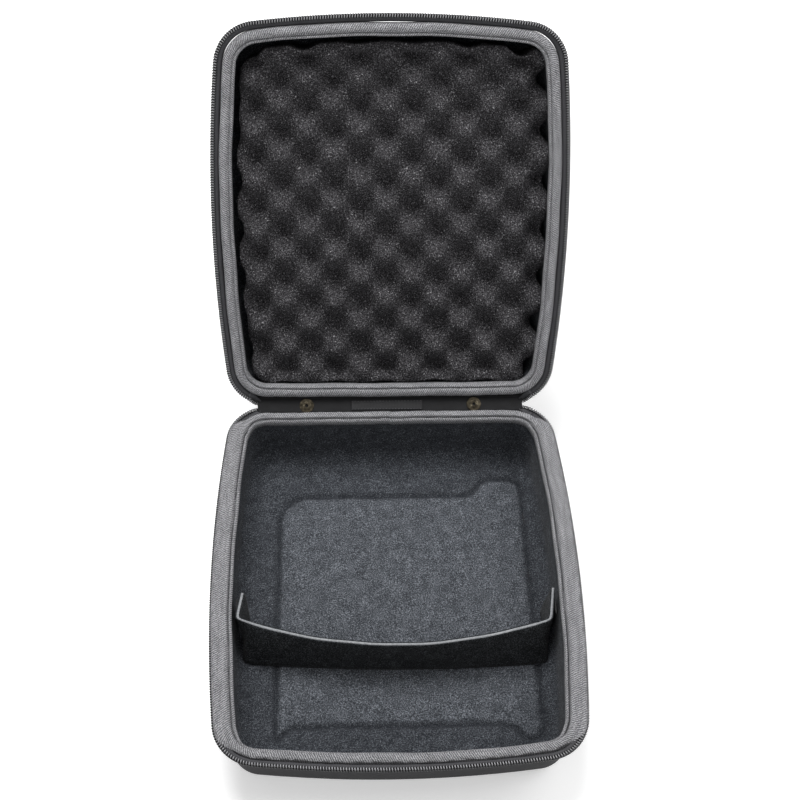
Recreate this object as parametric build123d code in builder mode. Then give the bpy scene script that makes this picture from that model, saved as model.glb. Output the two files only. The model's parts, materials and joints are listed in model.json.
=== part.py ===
"""Hard-shell headphone carrying case, lying on its base with the lid swung open.

Millimetres. The origin is the middle of the base's flat underside, +X to the right,
+Y towards the hinge and +Z up. The case is drawn open, as it stands with its lid back.
"""
from build123d import *
from math import cos, radians, sin, tan
import os

os.makedirs("parts", exist_ok=True)

# Driving dimensions of the two moulded halves, on the outside of the rim
half_width = 133.5
half_front = 151.5
half_rear = 149.2
side_bow = 9.0
front_bow = 8.5
corner_radius = 26.0
draft = 4.0
rim_drop = 3.0
base_depth = 60.0
lid_depth = 48.0
base_wall = 4.0
lid_wall = 3.0
lining_wall = 1.5
base_floor_pad = 3.0
lid_floor_pad = 1.5
bottom_radius = 18.0
groove_width = 3.0
groove_depth = 1.2
groove_bend = 4.0
groove_corners = [
    (-93, -116),
    (-93, 76),
    (-75, 100),
    (66, 100),
    (80, 116),
    (103, 116),
    (110, 109),
    (110, -116),
    (93, -116),
    (84, -104),
    (-84, -104),
]

# Rim binding, zip tape and zip coil: distances out from the wall, and down from the coil line
binding_out = 1.2
binding_in = 8.7
binding_top = 0.6
binding_leg = 9.0
leg_clear = 0.2
lining_clear = 0.7
tape_thick = 0.8
tape_flare = 45.0
coil_in = 4.8
coil_out = 8.2
coil_top = 0.3
coil_thick = 2.4
zip_gap_half = 118.0

# Hinge spine: a stiff strip between two parallel fold lines
open_angle = 121.0
fold_y = 153.2
spine_height = 13.0
spine_half = 96.0
spine_skin = 0.6
spine_core = 0.8
spine_corner = 2.0
stiffener_gap = 3.0
fold_clear = 0.8
leaf_length = 16.0
leaf_thick = 1.0
label_half = 30.0
label_shift = -3.0
label_height = 8.0
label_thick = 0.5

# Egg-crate foam in the lid, cored out behind
foam_gap = 14.0
foam_front = 6.0
foam_skin = 2.2
foam_clear = 0.3

# Lift-out divider
divider_mid_y = -56.0
divider_low_end_y = -51.0
divider_high_end_y = -35.0
divider_flap_y = -11.0
divider_half = 120.5
divider_clear = 0.5
divider_low = 7.4
divider_high = 46.0
divider_core_half = 1.0
divider_skin = 0.7
patch_size = 18.0
patch_thick = 0.8
patch_corner = 2.0
patch_rise = 6.0

# Carry handle and its rivets
rivet_x = 70.0
rivet_radius = 2.3
rivet_bore = 1.4
rivet_head = 3.6
rivet_lip = 0.8
rivet_round = 0.6
washer_radius = 6.0
washer_thick = 0.6
washer_round = 0.3
cap_radius = 5.0
cap_rise = 1.6
cap_round = 1.3
handle_width = 12.0
strap_thick = 2.2
handle_rise = 25.0
handle_foot = 58.0
handle_top = 34.0
grip_half = 42.0
grip_width = 20.0
grip_thick = 7.0
grip_corner = 5.0
grip_round = 2.2
plate_length = 22.0
plate_thick = 1.6
plate_corner = 3.0
plate_edge = 0.4

# Zip sliders and pull tabs
slider_x = 103.0
slider_out = 3.2
slider_length = 14.0
slider_width = 9.5
slider_plate = 1.3
slider_gap = 3.6
slider_lip = 0.8
slider_corner = 3.4
slider_round = 0.5
lip_length = 8.0
bridge_size = 3.0
bail_width = 3.0
bail_rise = 4.4
bail_span = 8.0
bail_bar = 1.2
pin_radius = 0.7
eye_width = 4.8
eye_length = 5.0
eye_corner = 0.8
pull_length = 26.0
pull_width = 8.0
pull_corner = 1.8
grip_sleeve = 3.2
grip_length = 17.0
sleeve_corner = 2.5
sleeve_round = 0.7
sleeve_lap = 1.0
bridge_long = 2.1
chain_width = 6.4
chain_thick = 2.6
chain_length = 18.0
wing_length = 12.0
end_clear = 0.5
wing_clear = 0.2

# Placing planes: each half's plane lies on its coil line and looks out through its floor
half_angle = radians(open_angle / 2)
spine_up = Vector(0, sin(half_angle), cos(half_angle))
spine_out = Vector(0, cos(half_angle), -sin(half_angle))
fold_a = Vector(0, fold_y, base_depth - spine_height / 2)
fold_b = fold_a + spine_up * spine_height
lid_rear = Vector(0, cos(2 * half_angle), -sin(2 * half_angle))
lid_out = Vector(0, sin(2 * half_angle), cos(2 * half_angle))
lid_origin = fold_b - lid_rear * fold_y - lid_out * (spine_height / 2)
base_plane = Plane(origin=(0, 0, base_depth), x_dir=(-1, 0, 0), z_dir=(0, 0, -1))
lid_plane = Plane(origin=lid_origin, x_dir=(1, 0, 0), z_dir=lid_out)
spine_plane = Plane(origin=(fold_a + fold_b) / 2, x_dir=(1, 0, 0), z_dir=spine_out)
spine_axis = Axis(spine_plane.origin, spine_out)
halves = {"base": base_plane, "lid": lid_plane}


def outline(out=0.0):
    """Outline of a half at the rim: bowed front and sides, straight rear, round corners."""
    x_end = half_width - side_bow
    y_end = half_front - front_bow
    with BuildSketch(mode=Mode.PRIVATE) as shape:
        with BuildLine():
            ThreePointArc((-x_end, -y_end), (0, -half_front), (x_end, -y_end))
            ThreePointArc((x_end, -y_end), (half_width, 0), (x_end, half_rear))
            Line((x_end, half_rear), (-x_end, half_rear))
            ThreePointArc((-x_end, half_rear), (-half_width, 0), (-x_end, -y_end))
        make_face()
        fillet(shape.vertices(), corner_radius)
        if out:
            offset(amount=out, kind=Kind.TANGENT, mode=Mode.REPLACE)
    return shape.sketch


def plug(plane, inset, depth, edge_radius):
    """A drafted block with a round bottom edge, from the rim of a half down to depth."""
    with BuildPart() as block:
        with BuildSketch(plane.offset(rim_drop)):
            add(outline(-inset))
        extrude(amount=depth - rim_drop, taper=draft)
        bottom = block.faces().sort_by(Axis(plane.origin, plane.z_dir))[-1]
        fillet(bottom.edges(), edge_radius)
    return block.part


def tub(plane, wall_out, wall_in, depth_out, depth_in):
    """An open tub between two plugs: insets wall_out and wall_in, outer and inner depths."""
    with BuildPart() as shell:
        add(plug(plane, wall_out, depth_out, bottom_radius - wall_out))
        add(plug(plane, wall_in, depth_in, bottom_radius - wall_in), mode=Mode.SUBTRACT)
    return shell.part


def ring(plane, out_low, out_high, top, low):
    """A flat ring that follows the rim between two distances out from the wall."""
    with BuildPart() as band:
        with BuildSketch(plane.offset(top)):
            add(outline(out_high))
            add(outline(out_low), mode=Mode.SUBTRACT)
        extrude(amount=low - top)
    return band.part


def tape_band(plane):
    """Zip tape that flares out from the wall to the coil, drawn as a band between two cones."""
    reach = coil_in - 2 * leg_clear - binding_out - tape_thick
    with BuildPart() as band:
        with BuildSketch(plane.offset(coil_top + tape_thick)):
            add(outline(coil_in - leg_clear))
        extrude(amount=reach, taper=tape_flare)
        with BuildSketch(plane.offset(coil_top + tape_thick)):
            add(outline(coil_in - leg_clear - tape_thick))
        extrude(amount=reach, taper=tape_flare, mode=Mode.SUBTRACT)
    return band.part


def zip_run(plane, solid):
    """Cuts a rim band back to the three zipped sides, leaving the hinge side free."""
    with BuildPart() as run:
        add(solid)
        with BuildSketch(plane.offset(-lid_depth)):
            with Locations((0, half_rear)):
                Rectangle(2 * zip_gap_half, 2 * lid_depth)
        extrude(amount=3 * lid_depth, mode=Mode.SUBTRACT)
    return run.part


def add_pair(x, radius, low, high, mode=Mode.ADD):
    """Two equal round bosses on the spine, one at each rivet, between two heights."""
    with BuildSketch(spine_plane.offset(low)) as spots:
        with Locations((-x, 0), (x, 0)):
            Circle(radius)
    extrude(spots.sketch, amount=high - low, mode=mode)


def hinge_leaf(plane):
    """Fabric leaf glued down a half's rear wall: it starts at the fold and clears the binding."""
    start = spine_height / 2 + fold_clear
    knee = binding_leg + 2 * leaf_thick
    skin = half_rear + binding_out + leg_clear
    slope = tan(radians(draft))
    wall_knee = half_rear + leg_clear - (knee - rim_drop) * slope
    wall_end = half_rear + leg_clear - (leaf_length + start - rim_drop) * slope
    profile = Plane(plane.origin, x_dir=plane.y_dir, z_dir=plane.x_dir)
    with BuildPart() as leaf:
        with BuildSketch(profile):
            with BuildLine():
                Polyline(
                    (skin, start),
                    (skin + leaf_thick, start),
                    (skin + leaf_thick, binding_leg),
                    (wall_knee + leaf_thick, knee + leaf_thick),
                    (wall_end + leaf_thick, start + leaf_length),
                    (wall_end, start + leaf_length),
                    (wall_knee, knee + leaf_thick),
                    (skin, binding_leg + leg_clear),
                    close=True,
                )
            make_face()
        extrude(amount=spine_half, both=True)
    return leaf.part


# ---- the two halves ----
for half, plane in halves.items():
    depth = base_depth if half == "base" else lid_depth
    wall = base_wall if half == "base" else lid_wall
    pad = base_floor_pad if half == "base" else lid_floor_pad

    with BuildPart() as shell:
        add(tub(plane, 0, wall, depth, depth - wall))
    shell.part.label = half + "_shell"
    export_step(shell.part, "parts/" + half + "_shell.step")

    with BuildPart() as lining:
        add(tub(plane, wall, wall + lining_wall, depth - wall, depth - wall - pad))
        if half == "base":
            with BuildSketch(Plane.XY.offset(base_wall + base_floor_pad)) as floor_line:
                with BuildLine():
                    Polyline(*groove_corners, close=True)
                make_face()
                fillet(floor_line.vertices(), groove_bend)
                offset(amount=-groove_width, kind=Kind.INTERSECTION, mode=Mode.SUBTRACT)
            extrude(amount=-groove_depth, mode=Mode.SUBTRACT)
    lining.part.label = half + "_lining"
    export_step(lining.part, "parts/" + half + "_lining.step")

    with BuildPart() as binding:
        add(ring(plane, -binding_in, binding_out, binding_top, rim_drop))
        add(ring(plane, leg_clear, binding_out, rim_drop, binding_leg))
        add(ring(plane, -binding_in, -wall - lining_wall - lining_clear, rim_drop, binding_leg))
    binding.part.label = half + "_rim_binding"
    export_step(binding.part, "parts/" + half + "_rim_binding.step")

    with BuildPart() as tape:
        add(zip_run(plane, tape_band(plane)))
    tape.part.label = half + "_zip_tape"
    export_step(tape.part, "parts/" + half + "_zip_tape.step")

    with BuildPart() as coil:
        add(zip_run(plane, ring(plane, coil_in, coil_out, coil_top, coil_top + coil_thick)))
    coil.part.label = half + "_zip_coil"
    export_step(coil.part, "parts/" + half + "_zip_coil.step")

    with BuildPart() as leaf:
        add(hinge_leaf(plane))
    leaf.part.label = half + "_hinge_leaf"
    export_step(leaf.part, "parts/" + half + "_hinge_leaf.step")


# ---- egg-crate foam: its outer envelope, cored out from behind ----
lid_inside = lid_wall + lining_wall
foam_back = lid_depth - lid_wall - lid_floor_pad
foam_room = plug(lid_plane, lid_inside + foam_clear, foam_back - foam_clear, bottom_radius - lid_inside)
with BuildPart() as lid_foam:
    with BuildSketch(lid_plane.offset(foam_front)):
        add(outline(-foam_gap))
    extrude(amount=foam_back - foam_front)
    with BuildSketch(lid_plane.offset(foam_front + foam_skin)):
        add(outline(-foam_gap - foam_skin))
    extrude(amount=foam_back, mode=Mode.SUBTRACT)
    add(foam_room, mode=Mode.INTERSECT)
lid_foam.part.label = "lid_foam"
export_step(lid_foam.part, "parts/lid_foam.step")


# ---- divider: a board between two fleece skins, with a flap folded back at each end ----
def divider_band(near, far):
    """One layer of the divider, between two distances from the board's middle surface."""
    with BuildPart() as band:
        for height, end_y in ((divider_low, divider_low_end_y), (divider_high, divider_high_end_y)):
            with BuildSketch(Plane.XY.offset(height)):
                with BuildLine():
                    Line((-divider_half - far, divider_flap_y), (-divider_half - far, end_y - far))
                    ThreePointArc(
                        (-divider_half - far, end_y - far),
                        (0, divider_mid_y - far),
                        (divider_half + far, end_y - far),
                    )
                    Line((divider_half + far, end_y - far), (divider_half + far, divider_flap_y))
                    Line((divider_half + far, divider_flap_y), (divider_half + near, divider_flap_y))
                    Line((divider_half + near, divider_flap_y), (divider_half + near, end_y - near))
                    ThreePointArc(
                        (divider_half + near, end_y - near),
                        (0, divider_mid_y - near),
                        (-divider_half - near, end_y - near),
                    )
                    Line((-divider_half - near, end_y - near), (-divider_half - near, divider_flap_y))
                    Line((-divider_half - near, divider_flap_y), (-divider_half - far, divider_flap_y))
                make_face()
        loft(ruled=True)
        add(divider_room, mode=Mode.INTERSECT)
    return band.part


inner_depth = base_depth - base_wall - base_floor_pad
inner_inset = base_wall + lining_wall
divider_room = plug(
    base_plane,
    inner_inset + divider_clear,
    inner_depth - divider_clear / 2,
    bottom_radius - inner_inset,
)

with BuildPart() as divider_board:
    add(divider_band(-divider_core_half, divider_core_half))
divider_board.part.label = "divider_board"
export_step(divider_board.part, "parts/divider_board.step")

with BuildPart() as divider_front_skin:
    add(divider_band(divider_core_half, divider_core_half + divider_skin))
divider_front_skin.part.label = "divider_front_skin"
export_step(divider_front_skin.part, "parts/divider_front_skin.step")

with BuildPart() as divider_rear_skin:
    add(divider_band(-divider_core_half - divider_skin, -divider_core_half))
divider_rear_skin.part.label = "divider_rear_skin"
export_step(divider_rear_skin.part, "parts/divider_rear_skin.step")

with BuildPart() as divider_hook_patches:
    patch_x = divider_half + divider_core_half + divider_skin
    patch_y = divider_flap_y - patch_size / 2 - patch_corner
    with BuildSketch(Plane.YZ):
        with Locations((patch_y, (divider_low + divider_high) / 2 + patch_rise)):
            RectangleRounded(patch_size, patch_size, patch_corner)
    extrude(amount=patch_x + patch_thick, both=True)
    with BuildSketch(Plane.YZ):
        with Locations((patch_y, base_depth / 2)):
            Rectangle(2 * patch_size, base_depth)
    extrude(amount=patch_x, both=True, mode=Mode.SUBTRACT)
divider_hook_patches.part.label = "divider_hook_patches"
export_step(divider_hook_patches.part, "parts/divider_hook_patches.step")


# ---- spine: fabric inside and out with a stiff strip between ----
spine_layers = {
    "spine_inner_fabric": (-spine_skin - spine_core / 2, -spine_core / 2, spine_half),
    "spine_stiffener": (-spine_core / 2, spine_core / 2, spine_half - stiffener_gap),
    "spine_outer_fabric": (spine_core / 2, spine_core / 2 + spine_skin, spine_half),
}
for layer, (low, high, half_length) in spine_layers.items():
    with BuildPart() as strip:
        with BuildSketch(spine_plane.offset(low)):
            RectangleRounded(2 * half_length, spine_height - 2 * fold_clear, spine_corner)
            with Locations((-rivet_x, 0), (rivet_x, 0)):
                Circle(rivet_radius, mode=Mode.SUBTRACT)
        extrude(amount=high - low)
    strip.part.label = layer
    export_step(strip.part, "parts/" + layer + ".step")

face_in = -spine_skin - spine_core / 2
face_out = -face_in
with BuildPart() as spine_label:
    with BuildSketch(spine_plane.offset(face_in - label_thick)):
        with Locations((label_shift, 0)):
            Rectangle(2 * label_half, label_height)
    extrude(amount=label_thick)
spine_label.part.label = "spine_label"
export_step(spine_label.part, "parts/spine_label.step")

with BuildPart() as rivet_washers:
    add_pair(rivet_x, washer_radius, face_in - washer_thick, face_in)
    washer_rims = rivet_washers.edges().filter_by(GeomType.CIRCLE)
    fillet(washer_rims.group_by(spine_axis)[0], washer_round)
    add_pair(rivet_x, rivet_radius, face_in - washer_thick, face_in, Mode.SUBTRACT)
rivet_washers.part.label = "rivet_washers"
export_step(rivet_washers.part, "parts/rivet_washers.step")

plate_low = face_out + strap_thick
plate_high = plate_low + plate_thick
with BuildPart() as rivets:
    head_face = face_in - washer_thick
    add_pair(rivet_x, rivet_head, head_face - rivet_lip, head_face)
    fillet(rivets.edges().filter_by(GeomType.CIRCLE).group_by(spine_axis)[0], rivet_round)
    add_pair(rivet_x, rivet_radius, head_face, plate_high)
    add_pair(rivet_x, rivet_bore, head_face - rivet_lip, plate_low, Mode.SUBTRACT)
rivets.part.label = "rivets"
export_step(rivets.part, "parts/rivets.step")

with BuildPart() as rivet_caps:
    add_pair(rivet_x, cap_radius, plate_high, plate_high + cap_rise)
    fillet(rivet_caps.edges().filter_by(GeomType.CIRCLE).group_by(spine_axis)[-1], cap_round)
rivet_caps.part.label = "rivet_caps"
export_step(rivet_caps.part, "parts/rivet_caps.step")


# ---- carry handle ----
strap_low = face_out
strap_high = face_out + strap_thick
foot_end = rivet_x + plate_length / 2
strap_side = Plane(spine_plane.origin, x_dir=(1, 0, 0), z_dir=-spine_plane.y_dir)
with BuildPart() as handle_strap:
    with BuildSketch(strap_side):
        with BuildLine():
            for low in (strap_low, strap_high):
                top = low + handle_rise
                Line((-foot_end, low), (-handle_foot, low))
                Spline((-handle_foot, low), (-handle_top, top), tangents=((1, 0), (1, 0)))
                Line((-handle_top, top), (handle_top, top))
                Spline((handle_top, top), (handle_foot, low), tangents=((1, 0), (1, 0)))
                Line((handle_foot, low), (foot_end, low))
            Line((-foot_end, strap_low), (-foot_end, strap_high))
            Line((foot_end, strap_low), (foot_end, strap_high))
        make_face()
    extrude(amount=handle_width / 2, both=True)
    add_pair(rivet_x, rivet_radius, 0, plate_high, Mode.SUBTRACT)
handle_strap.part.label = "handle_strap"
export_step(handle_strap.part, "parts/handle_strap.step")

with BuildPart() as handle_plates:
    with BuildSketch(spine_plane.offset(plate_low)):
        with Locations((-rivet_x, 0), (rivet_x, 0)):
            RectangleRounded(plate_length, handle_width, plate_corner)
            Circle(rivet_radius, mode=Mode.SUBTRACT)
    extrude(amount=plate_thick)
    rims = handle_plates.faces().sort_by(spine_axis)[-2:]
    chamfer(rims.edges().filter_by(GeomType.CIRCLE, reverse=True), plate_edge)
handle_plates.part.label = "handle_plates"
export_step(handle_plates.part, "parts/handle_plates.step")

with BuildPart() as handle_grip:
    with BuildSketch(spine_plane.offset(face_out + handle_rise - (grip_thick - strap_thick) / 2)):
        RectangleRounded(2 * grip_half, grip_width, grip_corner)
    extrude(amount=grip_thick)
    fillet(handle_grip.faces().sort_by(spine_axis)[0].edges(), grip_round)
    fillet(handle_grip.faces().sort_by(spine_axis)[-1].edges(), grip_round)
    add(handle_strap.part, mode=Mode.SUBTRACT)
handle_grip.part.label = "handle_grip"
export_step(handle_grip.part, "parts/handle_grip.step")


# ---- zip ends, sliders and pull tabs, one set at each end of the spine ----
for side, sign in (("left", -1), ("right", 1)):
    centre = spine_plane.from_local_coords((sign * slider_x, 0, slider_out))
    along = Plane(centre, x_dir=(sign, 0, 0), z_dir=spine_out)
    chain_end = slider_length / 2 - bridge_size - bridge_long - end_clear
    wing_end = spine_half - slider_x - wing_clear

    with BuildPart() as zip_end:
        with BuildSketch(along.offset(-chain_thick / 2)):
            with Locations((chain_end - chain_length / 2, 0)):
                Rectangle(chain_length, chain_width)
        extrude(amount=chain_thick)
        with BuildSketch(along.offset(face_out - slider_out)):
            with Locations((wing_end - wing_length / 2, 0)):
                Rectangle(wing_length, spine_height - 2 * fold_clear)
        extrude(amount=slider_out - chain_thick / 2 - face_out)
    zip_end.part.label = "zip_end_" + side
    export_step(zip_end.part, "parts/zip_end_" + side + ".step")

    with BuildPart() as slider:
        for low, lip_low in (
            (-slider_gap / 2 - slider_plate, -slider_gap / 2),
            (slider_gap / 2, slider_gap / 2 - slider_lip),
        ):
            with BuildSketch(along.offset(low)):
                RectangleRounded(slider_length, slider_width, slider_corner)
            extrude(amount=slider_plate)
            with BuildSketch(along.offset(lip_low)):
                with GridLocations(0, slider_width - slider_lip, 1, 2):
                    Rectangle(lip_length, slider_lip)
            extrude(amount=slider_lip)
        with BuildSketch(along.offset(-slider_gap / 2)):
            with Locations((slider_length / 2 - bridge_size, 0)):
                Ellipse(bridge_long, bridge_size / 2)
        extrude(amount=slider_gap)
        shell_faces = slider.faces().sort_by(Axis(along.origin, along.z_dir))
        fillet(shell_faces[0].edges(), slider_round)
        fillet(shell_faces[-1].edges(), slider_round)
    slider.part.label = "slider_body_" + side
    export_step(slider.part, "parts/slider_body_" + side + ".step")

    roof = slider_gap / 2 + slider_plate
    pin_out = roof + (bail_rise - bail_bar) / 2
    with BuildPart() as bail:
        with BuildSketch(Plane(along.origin, x_dir=along.x_dir, z_dir=-along.y_dir)):
            with Locations((0, roof + bail_rise / 2)):
                Rectangle(bail_span, bail_rise)
            with Locations((0, roof + (bail_rise - bail_bar) / 2)):
                Rectangle(bail_span - 2 * bail_bar, bail_rise - bail_bar, mode=Mode.SUBTRACT)
        extrude(amount=bail_width / 2, both=True)
        outer = bail.edges().filter_by(Axis(along.origin, along.y_dir))
        top_edges = outer.group_by(Axis(along.origin, along.z_dir))[-1]
        fillet(top_edges, bail_bar)
    bail.part.label = "slider_bail_" + side
    export_step(bail.part, "parts/slider_bail_" + side + ".step")

    pin = along.from_local_coords((0, 0, pin_out))
    hang = Plane(pin, x_dir=-spine_up, z_dir=(1, 0, 0))
    with BuildPart() as pull_tab:
        with BuildSketch(hang):
            with Locations((0, (pull_length - pin_radius) / 2)):
                RectangleRounded(pull_width, pull_length + pin_radius, pull_corner)
            with Locations((0, pin_radius + eye_length / 2)):
                RectangleRounded(eye_width, eye_length, eye_corner, mode=Mode.SUBTRACT)
        extrude(amount=pin_radius, both=True)
    pull_tab.part.label = "pull_tab_" + side
    export_step(pull_tab.part, "parts/pull_tab_" + side + ".step")

    with BuildPart() as pull_grip:
        with BuildSketch(hang):
            with Locations((0, pull_length - grip_length / 2 + sleeve_lap)):
                RectangleRounded(pull_width + 2 * sleeve_lap, grip_length, sleeve_corner)
        extrude(amount=grip_sleeve / 2, both=True)
        fillet(pull_grip.faces().filter_by(Axis.X).edges(), sleeve_round)
        add(pull_tab.part, mode=Mode.SUBTRACT)
    pull_grip.part.label = "pull_grip_" + side
    export_step(pull_grip.part, "parts/pull_grip_" + side + ".step")
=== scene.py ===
import json
import math
import bmesh
import bpy
import numpy as np
from mathutils import Matrix, Vector


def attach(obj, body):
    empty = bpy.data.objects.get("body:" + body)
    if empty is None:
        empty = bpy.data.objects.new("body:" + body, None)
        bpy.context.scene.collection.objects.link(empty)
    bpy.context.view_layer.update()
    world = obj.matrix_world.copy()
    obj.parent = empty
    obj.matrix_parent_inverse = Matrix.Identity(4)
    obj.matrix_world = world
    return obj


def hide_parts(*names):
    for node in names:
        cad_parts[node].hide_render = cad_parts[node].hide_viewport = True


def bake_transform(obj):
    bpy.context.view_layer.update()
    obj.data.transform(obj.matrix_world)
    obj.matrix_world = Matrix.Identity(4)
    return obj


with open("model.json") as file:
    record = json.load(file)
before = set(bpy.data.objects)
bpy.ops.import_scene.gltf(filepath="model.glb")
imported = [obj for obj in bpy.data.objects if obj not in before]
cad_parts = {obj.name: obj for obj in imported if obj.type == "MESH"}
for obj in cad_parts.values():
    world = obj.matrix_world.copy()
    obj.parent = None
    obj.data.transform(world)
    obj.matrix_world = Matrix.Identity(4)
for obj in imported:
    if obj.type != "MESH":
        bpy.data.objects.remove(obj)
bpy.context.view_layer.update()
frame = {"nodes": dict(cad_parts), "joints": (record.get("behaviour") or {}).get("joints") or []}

# The moulded halves, in mm, as the CAD draws them. Heights count up from the plane where the halves meet.
case = {
    "halfWidth": 133.5, "halfFront": 151.5, "halfRear": 149.2, "sideBow": 9.0, "frontBow": 8.5,
    "corner": 26.0, "draftDeg": 4.0, "rimDrop": 3.0, "baseDepth": 60.0, "zipEndX": 118.0,
}

joints = {j["name"]: j for j in frame["joints"]}
foldA = Vector(joints["spine_fold"]["pos_m"])
foldB = Vector(joints["lid_fold"]["pos_m"])
spineUp = (foldB - foldA).normalized()
spineIn = Vector((0, -spineUp.z, spineUp.y))
spineMid = (foldA + foldB) / 2
lidRear = Vector((0, spineUp.z ** 2 - spineUp.y ** 2, -2 * spineUp.y * spineUp.z))
lidUp = Vector((0, -2 * spineUp.y * spineUp.z, spineUp.y ** 2 - spineUp.z ** 2))
foldDrop = case["baseDepth"] / 1000 - foldA.z
halves = {
    "base": {"origin": Vector((0, 0, case["baseDepth"] / 1000)), "rear": Vector((0, 1, 0)),
             "up": Vector((0, 0, 1))},
    "lid": {"origin": foldB - lidRear * foldA.y + lidUp * foldDrop, "rear": lidRear, "up": lidUp},
}
right = Vector((1, 0, 0))


# ---- helpers: colour, nodes, meshes ----
def srgb(code):
    parts = [int(code[i:i + 2], 16) / 255 for i in (1, 3, 5)]
    return tuple(c / 12.92 if c <= 0.04045 else ((c + 0.055) / 1.055) ** 2.4 for c in parts) + (1.0,)


def newMaterial(name, settings):
    mat = bpy.data.materials.new(name)
    mat.use_nodes = True
    for key, value in settings.items():
        mat.node_tree.nodes["Principled BSDF"].inputs[key].default_value = value
    return mat


def addNode(mat, kind, settings, out=0):
    # a setting is a field of the node, a value for a socket, another node's socket to link, or a ramp's stops
    made = mat.node_tree.nodes.new("ShaderNode" + kind)
    for key, value in settings.items():
        if key == "stops":
            points = made.color_ramp.elements
            points[0].position, points[0].color = value[0][0], srgb(value[0][1])
            points[1].position, points[1].color = value[-1][0], srgb(value[-1][1])
            for place, code in value[1:-1]:
                points.new(place).color = srgb(code)
        elif isinstance(value, bpy.types.NodeSocket):
            mat.node_tree.links.new(value, made.inputs[key])
        elif isinstance(key, int) or key in made.inputs:
            made.inputs[key].default_value = value
        else:
            setattr(made, key, value)
    return made.outputs[out]


def finishWith(mat, colour, height=None, bump=0.5, reach=0.0003, rough=None):
    sockets = mat.node_tree.nodes["Principled BSDF"].inputs
    mat.node_tree.links.new(colour, sockets["Base Color"])
    if rough is not None:
        mat.node_tree.links.new(rough, sockets["Roughness"])
    if height is not None:
        bumped = addNode(mat, "Bump", {"Strength": bump, "Distance": reach, "Height": height}, "Normal")
        mat.node_tree.links.new(bumped, sockets["Normal"])
    return mat


def inMm(mat, threads=False, stretch=(1, 1, 1)):
    # object coordinates, or the along-and-across lengths kept on swept pieces, in mm
    if threads:
        source = addNode(mat, "Attribute", {"attribute_name": "threads"}, "Vector")
    else:
        source = addNode(mat, "TexCoord", {}, "Object")
    scale = [(1 if threads else 1000) * s for s in stretch]
    return addNode(mat, "Mapping", {"Vector": source, "Scale": scale}, "Vector")


def weave(mat, vector, threadMm, twist=0.6):
    # plain weave: warp and weft bands under a little unevenness
    bands = [addNode(mat, "TexWave", {"Vector": vector, "bands_direction": axis, "Scale": 0.31416 / threadMm,
                                      "Distortion": twist, "Detail": 1.0, "Detail Scale": 2.0}, "Fac")
             for axis in "XY"]
    return addNode(mat, "Math", {"operation": "MAXIMUM", 0: bands[0], 1: bands[1]})


def meshPiece(name, verts, faces, mat, threads=None, closed=True):
    data = bpy.data.meshes.new(name)
    data.from_pydata([tuple(v) for v in verts], [], faces)
    data.validate()
    if threads is not None:
        layer = data.attributes.new("threads", "FLOAT_VECTOR", "CORNER")
        layer.data.foreach_set("vector", np.asarray(threads, np.float32).ravel())
    if closed:
        work = bmesh.new()
        work.from_mesh(data)
        bmesh.ops.recalc_face_normals(work, faces=work.faces)
        work.to_mesh(data)
        work.free()
    data.polygons.foreach_set("use_smooth", [True] * len(data.polygons))
    data.materials.append(mat)
    piece = bpy.data.objects.new(name, data)
    bpy.context.scene.collection.objects.link(piece)
    return piece


def dressed(piece, body, slot, *nodes):
    if isinstance(body, str):
        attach(piece, body)
    else:
        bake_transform(piece)
    if nodes:
        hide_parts(*nodes)
    return piece


def lengthsAlong(points):
    return np.concatenate([[0], np.cumsum(np.linalg.norm(np.diff(points, axis=0), axis=1))])


def headings(points):
    # unit directions along a line of points
    ahead = np.gradient(points, axis=0)
    return ahead / np.linalg.norm(ahead, axis=1)[:, None]


def sampled(at, s, points):
    # the line of points, read off at other lengths
    return np.stack([np.interp(at, s, column) for column in np.asarray(points).T], 1)


def ringFaces(rows, cols, joinRows=False, joinCols=True):
    # quads between rows of points
    i, j = [g.ravel() for g in np.meshgrid(np.arange(rows if joinRows else rows - 1),
                                           np.arange(cols if joinCols else cols - 1), indexing="ij")]
    i2, j2 = (i + 1) % rows, (j + 1) % cols
    return np.stack([i * cols + j, i2 * cols + j, i2 * cols + j2, i * cols + j2], 1)


def capped(faces, rows, cols):
    # closes both ends of a tube
    return faces.tolist() + [list(range(cols))[::-1], list(range((rows - 1) * cols, rows * cols))]


def sweepAlong(name, run, profile, mat, closedRun=False, wobble=None):
    # run: centres, side and up directions in metres, and the length so far in mm. profile: (side, up) in mm.
    centre, side, up, s = run
    prof = np.asarray(profile, float)
    n, m = len(centre), len(prof)
    nextProf = np.roll(prof, -1, axis=0)
    q = np.concatenate([[0], np.cumsum(np.linalg.norm(nextProf - prof, axis=1))])
    a = np.tile(prof[:, 0], (n, 1))
    b = np.tile(prof[:, 1], (n, 1))
    if wobble is not None:
        da, db = wobble(s[:, None], q[None, :m])
        a, b = a + da, b + db
    verts = centre[:, None, :] + side[:, None, :] * a[..., None] / 1000 + up[:, None, :] * b[..., None] / 1000
    faces = ringFaces(n, m, closedRun)
    i, j = faces[:, 0] // m, faces[:, 0] % m
    step = np.linalg.norm(centre[0] - centre[-1]) * 1000
    sAll = np.concatenate([s, [s[-1] + step]])
    zero = np.zeros(len(i))
    marks = np.stack([
        np.stack([sAll[i], q[j], zero], 1), np.stack([sAll[i + 1], q[j], zero], 1),
        np.stack([sAll[i + 1], q[j + 1], zero], 1), np.stack([sAll[i], q[j + 1], zero], 1),
    ], axis=1).reshape(-1, 3)
    if closedRun:
        faces = faces.tolist()
    else:
        faces = capped(faces, n, m)
        marks = np.concatenate([marks, np.zeros((2 * m, 3))])
    return meshPiece(name, verts.reshape(-1, 3), faces, mat, marks)


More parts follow.
